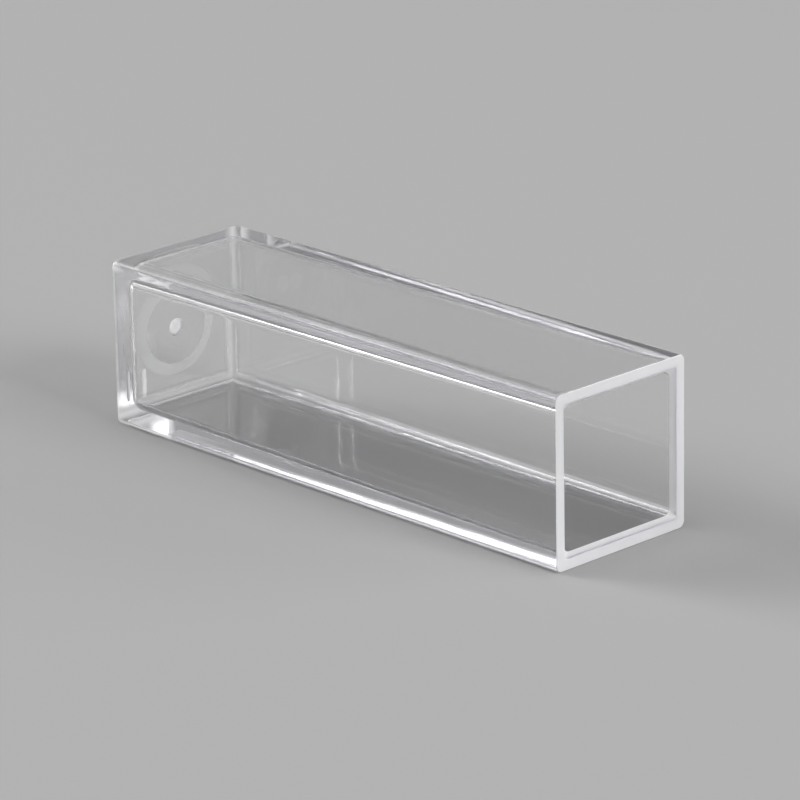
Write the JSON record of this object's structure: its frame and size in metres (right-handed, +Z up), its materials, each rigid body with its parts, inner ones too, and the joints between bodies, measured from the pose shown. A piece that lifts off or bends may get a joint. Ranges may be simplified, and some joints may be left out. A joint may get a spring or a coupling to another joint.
{
  "type": "cuvette",
  "caption": "Square clear plastic sample cell, lying on its side, with an open mouth, drafted inside walls and a recessed gate in its closed end.",
  "frame": {"origin": "under the middle of the window that the cuvette lies on, on the surface that it rests on", "axes": "+X along the length towards the open mouth, +Z up, +Y towards the far upright window"},
  "size_m": [0.045, 0.0126, 0.0125],
  "materials": {
    "clear_plastic": "clear, polished, colourless"
  },
  "bodies": {
    "root": {"cuvette": "clear_plastic"}
  },
  "joints": []
}
